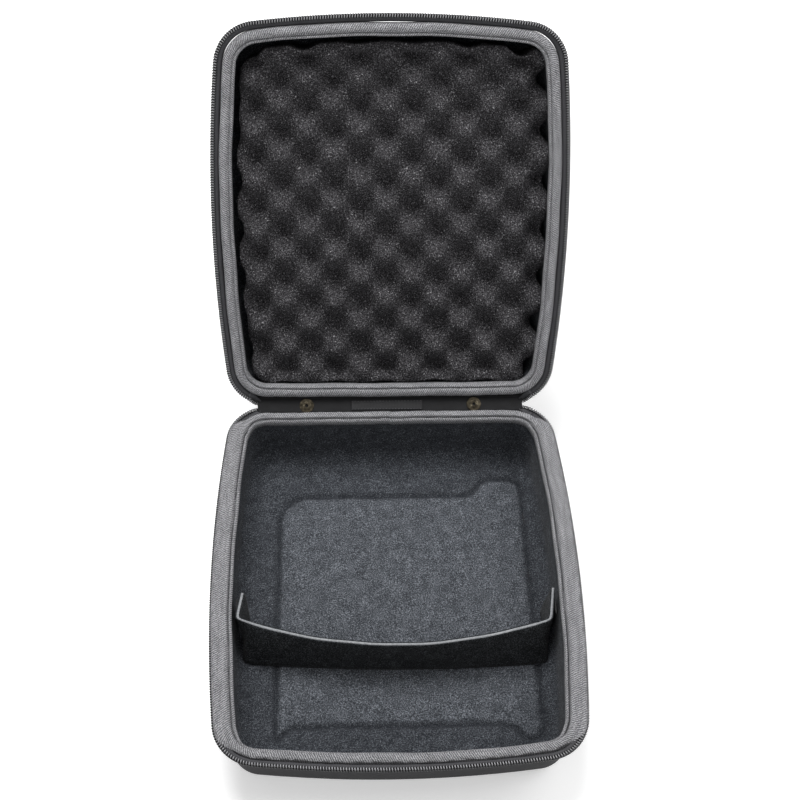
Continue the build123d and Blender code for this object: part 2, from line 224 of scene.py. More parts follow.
def ripple(s, waves, seed):
    # a sum of slow waves with fixed phases: waves is a list of (wavelength mm, height mm)
    phase = np.random.default_rng(seed).uniform(0, 2 * math.pi, len(waves))
    return sum(h * np.sin(2 * math.pi * s / w + p) for (w, h), p in zip(waves, phase))


def rounded(width, height, radius, steps=4):
    points = []
    for cx, cy, start in ((1, 1, 0), (-1, 1, 90), (-1, -1, 180), (1, -1, 270)):
        for k in range(steps + 1):
            turn = math.radians(start + 90 * k / steps)
            points.append((cx * (width / 2 - radius) + radius * math.cos(turn),
                           cy * (height / 2 - radius) + radius * math.sin(turn)))
    return points


def filled(points, step):
    # the same closed outline with no side longer than step
    points = np.asarray(points, float)
    out = []
    for a, b in zip(points, np.roll(points, -1, axis=0)):
        parts = max(1, int(np.linalg.norm(b - a) / step))
        out += [a + (b - a) * k / parts for k in range(parts)]
    return np.array(out)


# ---- the rim line: bowed front and sides, straight rear, round corners ----
def circleThrough(a, b, c):
    ax, ay, bx, by, cx, cy = *a, *b, *c
    d = 2 * (ax * (by - cy) + bx * (cy - ay) + cx * (ay - by))
    a2, b2, c2 = ax * ax + ay * ay, bx * bx + by * by, cx * cx + cy * cy
    centre = np.array([(a2 * (by - cy) + b2 * (cy - ay) + c2 * (ay - by)) / d,
                       (a2 * (cx - bx) + b2 * (ax - cx) + c2 * (bx - ax)) / d])
    return centre, float(np.linalg.norm(centre - np.array(a)))


def rimLine():
    xEnd = case["halfWidth"] - case["sideBow"]
    yEnd = case["halfFront"] - case["frontBow"]
    r, rear = case["corner"], case["halfRear"]
    frontC, frontR = circleThrough((-xEnd, -yEnd), (0, -case["halfFront"]), (xEnd, -yEnd))
    sideC, sideR = circleThrough((xEnd, -yEnd), (case["halfWidth"], 0), (xEnd, rear))
    yRear = rear - r
    rearCorner = np.array([sideC[0] + math.sqrt((sideR - r) ** 2 - (yRear - sideC[1]) ** 2), yRear])
    x = xEnd - r
    for _ in range(30):
        y = frontC[1] - math.sqrt((frontR - r) ** 2 - x * x)
        x = sideC[0] + math.sqrt((sideR - r) ** 2 - (y - sideC[1]) ** 2)
    frontCorner = np.array([x, y])
    angleOf = lambda v: math.atan2(v[1], v[0])
    t1, t2 = angleOf(rearCorner - sideC), angleOf(frontCorner - sideC)
    t3 = angleOf(frontCorner - frontC)
    points = [np.array([v, rear]) for v in np.linspace(0, rearCorner[0], 200)]
    normals = [np.array([0.0, 1.0])] * 200
    arcs = [(rearCorner, r, math.pi / 2, t1, 90), (sideC, sideR, t1, t2, 520),
            (frontCorner, r, t2, t3, 90), (frontC, frontR, t3, -math.pi / 2, 200)]
    for centre, radius, start, end, count in arcs:
        for turn in np.linspace(start, end, count)[1:]:
            normal = np.array([math.cos(turn), math.sin(turn)])
            points.append(centre + radius * normal)
            normals.append(normal)
    points, normals = np.array(points), np.array(normals)
    flip = np.array([-1, 1])
    return np.concatenate([points, points[-2:0:-1] * flip]), np.concatenate([normals, normals[-2:0:-1] * flip])


rimPoints, rimNormals = rimLine()


def rimAt(out, step, zipped=False):
    # points at equal steps on the line this far out from the wall, their normals and the length so far
    line = rimPoints + rimNormals * out
    loop = np.concatenate([line, line[:1]])
    turn = np.concatenate([rimNormals, rimNormals[:1]])
    s = lengthsAlong(loop)
    start, end = 0.0, s[-1]
    if zipped:
        start = s[np.argmax(loop[:, 0] >= case["zipEndX"])]
        end = s[-1] - start
    count = int(round((end - start) / step))
    at = np.linspace(start, end, count + 1)
    if not zipped:
        at = at[:-1]
    normals = sampled(at, s, turn)
    normals /= np.linalg.norm(normals, axis=1)[:, None]
    return sampled(at, s, loop), normals, at - start


def placed(half, x, y, h):
    # a point of a half: x and y along its rim plane and h above it, in mm, as metres in the row frame
    place = halves[half]
    x, y, h = [np.asarray(v, float)[..., None] / 1000 for v in np.broadcast_arrays(x, y, h)]
    origin, rear, up = [np.array(place[key]) for key in ("origin", "rear", "up")]
    return origin + x * np.array(right) + y * rear + h * up


def rimRun(half, step, out=0.0, zipped=False):
    points, normals, s = rimAt(out, step, zipped)
    base = points - normals * out
    place = halves[half]
    side = normals[:, :1] * np.array(right) + normals[:, 1:] * np.array(place["rear"])
    up = np.tile(np.array(place["up"]), (len(s), 1))
    return placed(half, base[:, 0], base[:, 1], 0.0), side, up, s


def straightRun(x0, x1, step, origin, side, up):
    xs = np.linspace(x0, x1, max(2, int(abs(x1 - x0) / step)) + 1)
    centre = np.array(origin) + xs[:, None] / 1000 * np.array(right)
    return centre, np.tile(np.array(side), (len(xs), 1)), np.tile(np.array(up), (len(xs), 1)), np.abs(xs - x0)


# ---- materials: a noise or cell pattern's scale is one over its size in mm ----
def laminatedEvaMoulded():
    # heat-moulded EVA under thin knitted polyester: dead matt, a fine even cloth grain, faint cloudiness
    mat = newMaterial("laminatedEvaMoulded", {"Roughness": 0.72, "IOR": 1.46, "Specular IOR Level": 0.3})
    vector = inMm(mat)
    cloudy = addNode(mat, "TexNoise", {"Vector": vector, "Scale": 1 / 16,
                                       "Detail": 4, "Roughness": 0.6}, "Fac")
    colour = addNode(mat, "ValToRGB", {"Fac": cloudy, "stops": [(0.3, "#252527"), (0.7, "#2b2b2d")]})
    grain = addNode(mat, "TexNoise", {"Vector": vector, "Scale": 1 / 0.9,
                                      "Detail": 3, "Roughness": 0.6}, "Fac")
    cloth = weave(mat, vector, 0.55)  # real cloth grain is 0.3 mm
    fine = addNode(mat, "Math", {"operation": "ADD", 0: cloth, 1: grain})
    return finishWith(mat, colour, fine, 0.22, 0.0002)


def brushedFleece(name, dark, mid, light):
    # brushed polyester fleece on foam: no gloss, tiny pale hair tips over a dark ground, soft lumps
    mat = newMaterial(name, {"Roughness": 0.95, "IOR": 1.45, "Sheen Weight": 0.06, "Sheen Roughness": 0.4,
                             "Specular IOR Level": 0.1})
    vector = inMm(mat)
    # hair tips are 0.1 mm; drawn as 0.9 mm tufts
    hairs = addNode(mat, "TexNoise", {"Vector": vector, "Scale": 1 / 0.9,
                                      "Detail": 4, "Roughness": 0.75}, "Fac")
    lumps = addNode(mat, "TexNoise", {"Vector": vector, "Scale": 1 / 9, "Detail": 3, "Roughness": 0.6}, "Fac")
    pressed = addNode(mat, "Attribute", {"attribute_name": "pressed"}, "Fac")  # painted shade: the fleece is painted darker towards the base's walls and in its floor groove, and all over the lid's lining
    uneven = addNode(mat, "Math", {"operation": "SUBTRACT", 0: lumps, 1: 0.5})
    tone = addNode(mat, "Math", {"operation": "MULTIPLY_ADD", 0: uneven, 1: 0.14, 2: hairs})
    tone = addNode(mat, "Math", {"operation": "MULTIPLY_ADD", 0: pressed, 1: -0.055, 2: tone})
    colour = addNode(mat, "ValToRGB", {"Fac": tone, "stops": [(0.38, dark), (0.52, mid), (0.66, light)]})
    height = addNode(mat, "Math", {"operation": "MULTIPLY_ADD", 0: lumps, 1: 1.5, 2: hairs})
    return finishWith(mat, colour, height, 0.8, 0.0006)


def ribbedKnitBinding():
    # elastic rib-knit polyester tape folded over the rim: grey, ribs across the roll, slightly fuzzy
    mat = newMaterial("ribbedKnitBinding", {"Roughness": 0.88, "IOR": 1.46, "Specular IOR Level": 0.15})
    slant = addNode(mat, "Mapping", {"Vector": inMm(mat, True), "Rotation": (0, 0, 0.5)})
    # real ribs are 1.1 mm apart; drawn 1.5 mm apart so that they show
    ribs = addNode(mat, "TexWave", {"Vector": slant, "bands_direction": "X", "Scale": 0.31416 / 1.5,
                                    "Distortion": 3.5, "Detail": 3.0, "Detail Scale": 1.6}, "Fac")
    fuzz = addNode(mat, "TexNoise", {"Vector": inMm(mat), "Scale": 1 / 0.7,
                                     "Detail": 4, "Roughness": 0.8}, "Fac")
    streaks = inMm(mat, True, (0.25, 1.6, 1))
    along = addNode(mat, "TexNoise", {"Vector": streaks, "Scale": 1 / 5,
                                      "Detail": 3, "Roughness": 0.6}, "Fac")
    tone = addNode(mat, "Math", {"operation": "MULTIPLY", 0: along, 1: 0.2})
    tone = addNode(mat, "Math", {"operation": "MULTIPLY_ADD", 0: fuzz, 1: 0.8, 2: tone})
    tone = addNode(mat, "Math", {"operation": "MULTIPLY_ADD", 0: ribs, 1: 0.2, 2: tone})
    stops = [(0.42, "#404042"), (0.60, "#7c7c7f"), (0.76, "#c4c4c7")]
    colour = addNode(mat, "ValToRGB", {"Fac": tone, "stops": stops})
    height = addNode(mat, "Math", {"operation": "MULTIPLY_ADD", 0: fuzz, 1: 1.2, 2: ribs})
    return finishWith(mat, colour, height, 0.8, 0.0006)


def zipTapeWoven():
    # woven polyester zip tape: black, flat, close ribs along its length
    mat = newMaterial("zipTapeWoven", {"Roughness": 0.82, "IOR": 1.46, "Specular IOR Level": 0.2})
    height = weave(mat, inMm(mat, True), 0.6)  # real rib is 0.35 mm
    colour = addNode(mat, "ValToRGB", {"Fac": height, "stops": [(0.2, "#19191b"), (0.9, "#545457")]})
    return finishWith(mat, colour, height, 0.6, 0.0002)


def nylonCoilExtruded():
    # extruded nylon monofilament: black and smooth; the upper crown of each turn carries a painted highlight,
    # pale grey
    mat = newMaterial("nylonCoilExtruded", {"Roughness": 0.25, "IOR": 1.53})
    crown = addNode(mat, "Attribute", {"attribute_name": "crown"}, "Fac")
    patchy = addNode(mat, "TexNoise", {"Vector": inMm(mat), "Scale": 1 / 3,
                                       "Detail": 3, "Roughness": 0.6}, "Fac")
    # painted highlight on the crowns plus random patches of tone; this sum sets the colour and a faint bump
    worn = addNode(mat, "Math", {"operation": "MULTIPLY_ADD", 0: patchy, 1: 0.3, 2: crown})
    colour = addNode(mat, "ValToRGB", {"Fac": worn, "stops": [(0.6, "#080809"), (1.0, "#8e8e91")]})
    return finishWith(mat, colour, worn, 0.05, 0.0001)


def packClothWoven():
    # plain-woven nylon pack cloth with a coated back: near black, visible square weave, soft sheen on folds
    mat = newMaterial("packClothWoven", {"Roughness": 0.7, "IOR": 1.5, "Specular IOR Level": 0.3})
    height = weave(mat, inMm(mat, True), 0.7)
    worn = addNode(mat, "TexNoise", {"Vector": inMm(mat), "Scale": 1 / 7,
                                     "Detail": 4, "Roughness": 0.6}, "Fac")
    tone = addNode(mat, "Math", {"operation": "ADD", 0: height, 1: worn})
    tone = addNode(mat, "Math", {"operation": "MULTIPLY", 0: tone, 1: 0.5})
    colour = addNode(mat, "ValToRGB", {"Fac": tone, "stops": [(0.3, "#080809"), (0.75, "#1e1e20")]})
    return finishWith(mat, colour, height, 0.55, 0.00025)


def polyurethaneFoamCut():
    # open-cell polyurethane foam, profile-cut: charcoal, pin-prick cells, and pale specks painted in as glints
    # off the cell walls
    mat = newMaterial("polyurethaneFoamCut", {"Roughness": 0.95, "IOR": 1.45, "Specular IOR Level": 0.1})
    vector = inMm(mat)
    # cells are 0.5 mm across; drawn at about twice that
    cells = addNode(mat, "TexVoronoi", {"Vector": vector, "Scale": 1 / 0.9, "Randomness": 1.0}, "Distance")
    grain = addNode(mat, "TexNoise", {"Vector": vector, "Scale": 1 / 1.1,
                                      "Detail": 4, "Roughness": 0.75}, "Fac")
    tone = addNode(mat, "Math", {"operation": "MULTIPLY", 0: cells, 1: 0.25})
    tone = addNode(mat, "Math", {"operation": "MULTIPLY_ADD", 0: grain, 1: 0.85, 2: tone})
    # the palest stop is a painted highlight: glints off cell walls
    stops = [(0.44, "#121112"), (0.58, "#39383a"), (0.70, "#6b6a6d"), (0.78, "#c9c8cb")]
    return finishWith(mat, addNode(mat, "ValToRGB", {"Fac": tone, "stops": stops}), tone, 0.8, 0.0007)


def greyBoardCut():
    # cut edge of the grey board inside the divider: pale, fibrous, rough
    mat = newMaterial("greyBoardCut", {"Roughness": 0.9, "IOR": 1.5, "Specular IOR Level": 0.2})
    fibre = addNode(mat, "TexNoise", {"Vector": inMm(mat), "Scale": 1 / 1.2,
                                      "Detail": 4, "Roughness": 0.7}, "Fac")
    colour = addNode(mat, "ValToRGB", {"Fac": fibre, "stops": [(0.3, "#6e7073"), (0.7, "#a6a8ab")]})
    return finishWith(mat, colour, fibre, 0.5, 0.0003)


def damaskLabelWoven():
    # woven damask polyester label, left plain: black, satin floats along its length
    mat = newMaterial("damaskLabelWoven", {"Roughness": 0.5, "IOR": 1.5, "Specular IOR Level": 0.3})
    height = weave(mat, inMm(mat, True, (0.4, 1, 1)), 0.5)
    colour = addNode(mat, "ValToRGB", {"Fac": height, "stops": [(0.2, "#0c0c0d"), (0.9, "#242426")]})
    return finishWith(mat, colour, height, 0.4, 0.00015)


def antiqueBrassTumbled():
    # brass-plated steel, blackened and tumbled: warm grey-brown, bright where rubbed, dark in the hollows
    mat = newMaterial("antiqueBrassTumbled", {"Metallic": 1.0, "Roughness": 0.4})
    patina = addNode(mat, "TexNoise", {"Vector": inMm(mat), "Scale": 1 / 3,
                                       "Detail": 4, "Roughness": 0.6}, "Fac")
    stops = [(0.3, "#37332b"), (0.55, "#696152"), (0.75, "#a09782")]
    colour = addNode(mat, "ValToRGB", {"Fac": patina, "stops": stops})
    rough = addNode(mat, "Math", {"operation": "MULTIPLY_ADD", 0: patina, 1: 0.25, 2: 0.1})
    return finishWith(mat, colour, patina, 0.15, 0.0001, rough)


def blackEnamelBaked():
    # die-cast zinc under baked black enamel: satin, faint orange peel
    mat = newMaterial("blackEnamelBaked", {"Roughness": 0.32, "IOR": 1.52, "Coat Weight": 0.4,
                                           "Coat Roughness": 0.2})
    peel = addNode(mat, "TexNoise", {"Vector": inMm(mat), "Scale": 1 / 1.4,
                                     "Detail": 2, "Roughness": 0.6}, "Fac")
    worn = addNode(mat, "TexNoise", {"Vector": inMm(mat), "Scale": 1 / 5,
                                     "Detail": 4, "Roughness": 0.6}, "Fac")
    colour = addNode(mat, "ValToRGB", {"Fac": worn, "stops": [(0.3, "#121213"), (0.75, "#252527")]})
    return finishWith(mat, colour, peel, 0.12, 0.0001)


def webbingNylonWoven():
    # heavy nylon webbing: black, thick chevron ribs across its width
    mat = newMaterial("webbingNylonWoven", {"Roughness": 0.72, "IOR": 1.53, "Specular IOR Level": 0.25})
    height = weave(mat, inMm(mat, True), 1.1, 0.9)
    colour = addNode(mat, "ValToRGB", {"Fac": height, "stops": [(0.2, "#121214"), (0.9, "#343437")]})
    return finishWith(mat, colour, height, 0.8, 0.0004)


def rubberMoulded():
    # moulded thermoplastic rubber: black, eggshell, fine spark-eroded texture from the mould
    mat = newMaterial("rubberMoulded", {"Roughness": 0.6, "IOR": 1.52, "Specular IOR Level": 0.4})
    grain = addNode(mat, "TexNoise", {"Vector": inMm(mat), "Scale": 1 / 0.6,
                                      "Detail": 3, "Roughness": 0.6}, "Fac")
    cloudy = addNode(mat, "TexNoise", {"Vector": inMm(mat), "Scale": 1 / 8,
                                       "Detail": 3, "Roughness": 0.6}, "Fac")
    colour = addNode(mat, "ValToRGB", {"Fac": cloudy, "stops": [(0.3, "#151516"), (0.75, "#242426")]})
    return finishWith(mat, colour, grain, 0.25, 0.00015)


def hookTapeKnitted():
    # hook side of hook-and-loop tape: black, rows of tiny stiff hooks
    mat = newMaterial("hookTapeKnitted", {"Roughness": 0.55, "IOR": 1.53})
    hooks = addNode(mat, "TexVoronoi", {"Vector": inMm(mat), "Scale": 1 / 1.2, "Randomness": 0.25}, "Distance")
    colour = addNode(mat, "ValToRGB", {"Fac": hooks, "stops": [(0.1, "#2c2c2e"), (0.5, "#0b0b0c")]})
    return finishWith(mat, colour, hooks, 0.9, 0.0005)


def sewingThread():
    # spun polyester thread: matt grey with a twist
    mat = newMaterial("sewingThread", {"Roughness": 0.75, "IOR": 1.5})
    twist = addNode(mat, "TexNoise", {"Vector": inMm(mat), "Scale": 1 / 0.5,
                                      "Detail": 2, "Roughness": 0.6}, "Fac")
    colour = addNode(mat, "ValToRGB", {"Fac": twist, "stops": [(0.3, "#3f3f42"), (0.7, "#6a6a6d")]})
    return finishWith(mat, colour, twist, 0.5, 0.0001)


def opalAcrylicCast():
    # cast opal acrylic of a light table: matt, even, glowing softly so that shadows stay pale
    mat = newMaterial("opalAcrylicCast", {"Roughness": 0.9, "IOR": 1.49, "Specular IOR Level": 0.1,
                                          "Emission Color": srgb("#ffffff"), "Emission Strength": 0.38})
    cloudy = addNode(mat, "TexNoise", {"Vector": inMm(mat), "Scale": 1 / 120,
                                       "Detail": 3, "Roughness": 0.6}, "Fac")
    colour = addNode(mat, "ValToRGB", {"Fac": cloudy, "stops": [(0.3, "#f4f4f4"), (0.7, "#f9f9f9")]})
    return finishWith(mat, colour)


shellSkin = laminatedEvaMoulded()
liningSkin = brushedFleece("brushedFleece", "#25272b", "#4a4d52", "#8c9097")
# painted shade: the divider's skins are the lining's fleece painted much darker, as shade on faces the key
# light leaves dark
dividerFleecePaintedShade = brushedFleece("brushedFleecePaintedShade", "#101112", "#27292b", "#5c5f63")
bindingKnit = ribbedKnitBinding()
tapeCloth = zipTapeWoven()
coilNylon = nylonCoilExtruded()
packCloth = packClothWoven()
foamCut = polyurethaneFoamCut()
boardEdge = greyBoardCut()
labelCloth = damaskLabelWoven()
brass = antiqueBrassTumbled()
enamel = blackEnamelBaked()
webbing = webbingNylonWoven()
rubber = rubberMoulded()
hookTape = hookTapeKnitted()
thread = sewingThread()
print("materials made")


# ---- CAD parts that keep their shape ----
keptFinish = {
    "base_shell": shellSkin, "lid_shell": shellSkin,
    "rivets": brass, "rivet_washers": brass, "rivet_caps": brass, "handle_plates": enamel,
    "slider_body_left": enamel, "slider_body_right": enamel,
    "slider_bail_left": enamel, "slider_bail_right": enamel,
    "pull_tab_left": enamel, "pull_tab_right": enamel, "pull_grip_left": rubber, "pull_grip_right": rubber,
    "divider_hook_patches": hookTape,
}
for nodeName, finish in keptFinish.items():
    node = frame["nodes"][nodeName]
    node.data.materials.clear()
    node.data.materials.append(finish)
print("CAD parts painted")


# ---- lining: walls, round bottom edge and floor in one moulded skin ----
lining = {
    "base": {"inset": 5.5, "depth": 53.0, "edge": 12.5, "rings": 62, "undulation": 0.25},
    "lid": {"inset": 4.5, "depth": 43.5, "edge": 13.5, "rings": 10, "undulation": 0.2},
    "across": 2.0, "wallStep": 3.0, "grooveWide": 4.4, "grooveDeep": 2.6, "shadeFade": 7.0,
    "groove": [(-93, -112), (-93, 78), (-90, 88), (-83, 96), (-72, 100), (60, 100), (69, 103), (76, 113),
               (82, 116), (100, 116), (107, 113), (110, 106), (110, -108), (107, -114), (100, -116),
               (94, -115), (88, -107), (80, -104), (-78, -104), (-86, -108), (-90, -114)],
}


def distanceTo(x, y, corners):
    best = np.full(x.shape, 1e9)
    loop = corners + corners[:1]
    for (ax, ay), (bx, by) in zip(loop[:-1], loop[1:]):
        dx, dy = bx - ax, by - ay
        t = np.clip(((x - ax) * dx + (y - ay) * dy) / (dx * dx + dy * dy), 0, 1)
        best = np.minimum(best, np.hypot(x - ax - t * dx, y - ay - t * dy))
    return best


def insideOf(x, y, corners):
    odd = np.zeros(x.shape, bool)
    for (ax, ay), (bx, by) in zip(corners, corners[1:] + corners[:1]):
        spans = (ay > y) != (by > y)
        odd ^= spans & (x < ax + (bx - ax) * (y - ay) / (by - ay + 1e-9))
    return odd


def liningPiece(half):
    facts = lining[half]
    slope = math.tan(math.radians(case["draftDeg"]))
    drop, inset, low, edge = case["rimDrop"], facts["inset"], facts["depth"], facts["edge"]
    wall = [(-inset - (d - drop) * slope, -d) for d in np.arange(drop + 0.3, low - edge, lining["wallStep"])]
    cx = -inset - (low - edge - drop) * slope - edge / math.cos(math.radians(case["draftDeg"]))
    turn = np.radians(np.linspace(-case["draftDeg"], -90, 10))
    wall += [(cx + edge * math.cos(t), -(low - edge) + edge * math.sin(t)) for t in turn]
    points, normals, _ = rimAt(0.0, lining["across"])
    rings = [(points[:, 0] + normals[:, 0] * n, points[:, 1] + normals[:, 1] * n, np.full(len(points), h))
             for n, h in wall]
    edgeX, edgeY, _ = rings[-1]
    for t in (np.arange(1, facts["rings"] + 1) / (facts["rings"] + 1)) ** 0.9:
        rings.append((edgeX * (1 - t), edgeY * (1 - t), np.full(len(points), -low)))
    x, y, h = [np.stack([r[k] for r in rings]) for k in range(3)]
    lumps = ripple(x * 0.8 + y * 0.6, [(41, 1), (67, 1)], 3) * ripple(y * 0.9 - x * 0.4, [(37, 1), (83, 1)], 4)
    h = h + facts["undulation"] * lumps * (h < -drop - 6)
    # painted shade: 1 on the base's floor border and walls, more in the groove, 0 on the open floor; the lid's
    # lining is shaded all over
    pressed = np.ones(x.shape)
    if half == "base":
        near = distanceTo(x, y, lining["groove"])
        within = np.where(insideOf(x, y, lining["groove"]), near, -near)
        pressed = np.clip(0.5 - within / lining["shadeFade"], 0, 1)
        pressed = pressed + 1.6 * np.exp(-(near / (lining["grooveWide"] / 2)) ** 2)
        h = h - lining["grooveDeep"] * np.exp(-(near / (lining["grooveWide"] / 2)) ** 4) * (h < -low + 1)
    rows, cols = x.shape
    verts = placed(half, x, y, h).reshape(-1, 3)
    faces = ringFaces(rows, cols)
    last = (rows - 1) * cols
    faces = (faces[:, ::-1] if half == "lid" else faces).tolist()
    cap = [last + k for k in range(cols)]
    faces.append(cap if half == "lid" else cap[::-1])
    piece = meshPiece(half + "_fleece_lining", verts, faces, liningSkin, closed=False)
    layer = piece.data.attributes.new("pressed", "FLOAT", "POINT")
    layer.data.foreach_set("value", pressed.astype(np.float32).ravel())
    dressed(piece, half, "fleece_lining", half + "_lining")
    return piece


for half in halves:
    liningPiece(half)
print("linings made")


# ---- rim binding: a folded knit roll with a sewn crease along its inner side ----
binding = {
    "step": 1.6,
    "outer": {
        # along the sides of the base the knit spreads out over the tape, up to the teeth
        "base": [(1.15, -9.0), (1.3, -6.0), (1.4, -3.3), (3.0, -2.4), (5.2, -2.2), (6.5, -1.7), (6.85, -1.1),
                 (6.3, -0.5), (4.9, -0.3), (3.4, -0.45), (2.2, -0.9), (1.0, -0.5), (-0.8, -0.35), (-2.8, -0.3),
                 (-4.2, -0.55)],
        "lid": [(1.15, -9.0), (1.3, -6.0), (1.35, -3.6), (0.95, -1.9), (0.1, -0.9), (-1.2, -0.4), (-2.8, -0.2),
                (-4.3, -0.45)],
    },
    "inner": {
        "base": [(-5.0, -1.4), (-5.4, -5.0), (-6.2, -5.0), (-6.6, -2.8), (-7.5, -2.7), (-8.2, -3.6)],
        "lid": [(-5.2, -1.0), (-5.9, -2.3), (-6.3, -2.2), (-6.9, -1.3), (-7.7, -1.35), (-8.4, -2.1)],
    },
    "under": [(-8.7, -4.2), (-8.6, -6.4), (-8.5, -9.0), (-7.2, -9.0), (-6.9, -6.6), (-4.8, -6.4), (-3.0, -2.6),
              (0.2, -3.2), (0.3, -9.0)],
    "endsNarrower": {"base": 2.1, "lid": 0.0},
    "puckers": [(7.3, 0.10), (11.9, 0.10), (23.0, 0.14)],
    "stitch": 3.2, "stitchGap": 0.7, "threadRadius": 0.22, "creaseAt": -6.0,
    "creaseHigh": {"base": -4.7, "lid": -2.05}, "wallSide": 1.3, "seed": {"base": 11, "lid": 23},
}


def stitchRow(name, run, aside, high, facts, mat):
    # one mesh of separate stitches, each a short bowed thread
    centre, side, up, s = run
    verts, faces = [], []
    pitch = facts["stitch"] + facts["stitchGap"]
    for k in range(int((s[-1] - s[0]) / pitch)):
        first = len(verts)
        for part in range(5):
            at = s[0] + k * pitch + facts["stitch"] * part / 4
            spot, out, lift = [sampled([at], s, v)[0] for v in (centre, side, up)]
            bow = math.sin(math.pi * part / 4)
            radius = facts["threadRadius"] * (0.45 + 0.55 * bow)
            for turn in np.radians((0, 60, 120, 180, 240, 300)):
                a = aside + radius * math.cos(turn)
                b = high + 0.3 * bow - 0.2 + radius * math.sin(turn)
                verts.append(spot + out * a / 1000 + lift * b / 1000)
        for part in range(4):
            for c in range(6):
                faces.append([first + part * 6 + c, first + part * 6 + (c + 1) % 6,
                              first + (part + 1) * 6 + (c + 1) % 6, first + (part + 1) * 6 + c])
        faces.append([first + c for c in range(6)])
        faces.append([first + 24 + c for c in range(6)][::-1])
    return meshPiece(name, verts, faces, mat)


def bindingPiece(half):
    facts = binding
    seed = facts["seed"][half]
    run = rimRun(half, facts["step"])
    roll = facts["outer"][half] + facts["inner"][half] + facts["under"]
    top = np.array([p[1] > -3.0 for p in roll])[None, :]
    across = np.array([p[0] for p in roll])[None, :]
    beyond = across - facts["wallSide"]
    past = np.clip(beyond / 0.6, 0, 1)
    inner = np.clip((-4.0 - across) / 2.0, 0, 1)
    sideways = np.clip((np.abs(run[1][:, :1]) - 0.6) / 0.3, 0, 1)

    def wobble(s, q):
        gather = ripple(s + q * 0.6, facts["puckers"], seed)
        gather = gather + 0.05 * ripple(s * 1.7 - q, [(3.1, 1.0)], seed + 1)
        sway = ripple(s, [(61, 0.22), (143, 0.25)], seed + 2)
        folded = past * (1 - sideways)
        sway = sway + facts["endsNarrower"][half] * inner * (1 - sideways)
        return sway - beyond * folded, gather * top - (1.6 + 0.35 * beyond) * folded

    piece = sweepAlong(half + "_knit_binding", run, roll, bindingKnit, closedRun=True, wobble=wobble)
    dressed(piece, half, "rim_binding", half + "_rim_binding")
    row = stitchRow(half + "_binding_stitches", run, facts["creaseAt"], facts["creaseHigh"][half], facts,
                    thread)
    dressed(row, half, "rim_binding")


for half in halves:
    bindingPiece(half)
print("bindings made")


# ---- zip: woven tape that flares out from the wall, and the coil sewn along its edge ----
zipper = {
    "tape": [(1.75, -9.0), (1.75, -6.4), (2.1, -4.6), (3.3, -3.4), (4.8, -3.0), (7.9, -2.95), (7.95, -2.55),
             (4.6, -2.55), (3.0, -2.85), (1.7, -4.1), (1.4, -6.0), (1.4, -9.0)],
    "coilAside": 6.5, "coilHigh": -1.45, "coilHalfWide": 1.55, "coilHalfHigh": 0.95,
    "wire": 0.36, "wireWide": 0.52, "pitch": 2.0, "perTurn": 12, "sides": 8,
    "tapeFrom": 4.0, "tapeStep": 2.0, "coilStep": 1.0,
}


def coilPiece(name, run, aside, high, mat):
    # a flattened spiral of monofilament, one turn to each pitch
    centre, side, up, s = run
    facts = zipper
    count = int((s[-1] - s[0]) / facts["pitch"] * facts["perTurn"])
    at = np.linspace(s[0], s[-1], count)
    spot, out, lift = [sampled(at, s, v) for v in (centre, side, up)]
    turn = 2 * math.pi * (at - s[0]) / facts["pitch"]
    wide = facts["coilHalfWide"] * np.cos(turn)
    tall = facts["coilHalfHigh"] * np.sin(turn)
    line = spot + out * ((aside + wide) / 1000)[:, None] + lift * ((high + tall) / 1000)[:, None]
    ahead = headings(line)
    away = out * np.cos(turn)[:, None] + lift * np.sin(turn)[:, None]
    away -= ahead * (away * ahead).sum(1)[:, None]
    away /= np.linalg.norm(away, axis=1)[:, None]
    cross = np.cross(ahead, away)
    ring = 2 * math.pi * np.arange(facts["sides"]) / facts["sides"]
    verts = line[:, None, :] + (away[:, None, :] * np.cos(ring)[None, :, None] * facts["wire"] / 1000
                                + cross[:, None, :] * np.sin(ring)[None, :, None] * facts["wireWide"] / 1000)
    faces = capped(ringFaces(count, facts["sides"]), count, facts["sides"])
    piece = meshPiece(name, verts.reshape(-1, 3), faces, mat)
    # painted highlight: the upper half of each turn, on the wire's outer side, is marked to be painted pale
    crown = np.clip(np.sin(turn), 0, 1)[:, None] * np.clip(np.cos(ring), 0, 1)[None, :]
    layer = piece.data.attributes.new("crown", "FLOAT", "POINT")
    layer.data.foreach_set("value", crown.astype(np.float32).ravel())
    return piece


def tapeWobble(seed):
    return lambda s, q: (0 * s * q, ripple(s, [(17, 0.10), (31, 0.12)], seed) * np.ones_like(q))


for half in halves:
    run = rimRun(half, zipper["tapeStep"], zipper["tapeFrom"], zipped=True)
    tape = sweepAlong(half + "_woven_zip_tape", run, zipper["tape"], tapeCloth, wobble=tapeWobble(31))
    dressed(tape, half, "zip_tape", half + "_zip_tape")
    coilRun = rimRun(half, zipper["coilStep"], zipper["coilAside"], zipped=True)
    coil = coilPiece(half + "_zip_teeth", coilRun, zipper["coilAside"], zipper["coilHigh"], coilNylon)
    dressed(coil, half, "zip_coil", half + "_zip_coil")
print("zip tapes and teeth made")


# ---- zip ends: teeth and tape that cross from each corner to the slider, and the closed chain behind it ----
zipEnds = {
    "sliderOut": 3.2, "mouthX": 109.5, "mouthGap": 2.2, "lead": 4.2, "tuck": 2.5, "points": 24,
    "tape": [(-5.4, -1.55), (1.3, -1.55), (1.35, -1.15), (-5.4, -1.1)],
    # behind each slider: two rows of teeth side by side, over a short closed tape
    "chainFrom": 99.5, "chainTo": 83.0, "rowAside": 1.35, "rowStep": 1.0,
    "backFrom": 95.5, "backOut": 1.5, "backWide": 11.2, "backThick": 0.9, "backRound": 0.4, "backStep": 1.5,
}


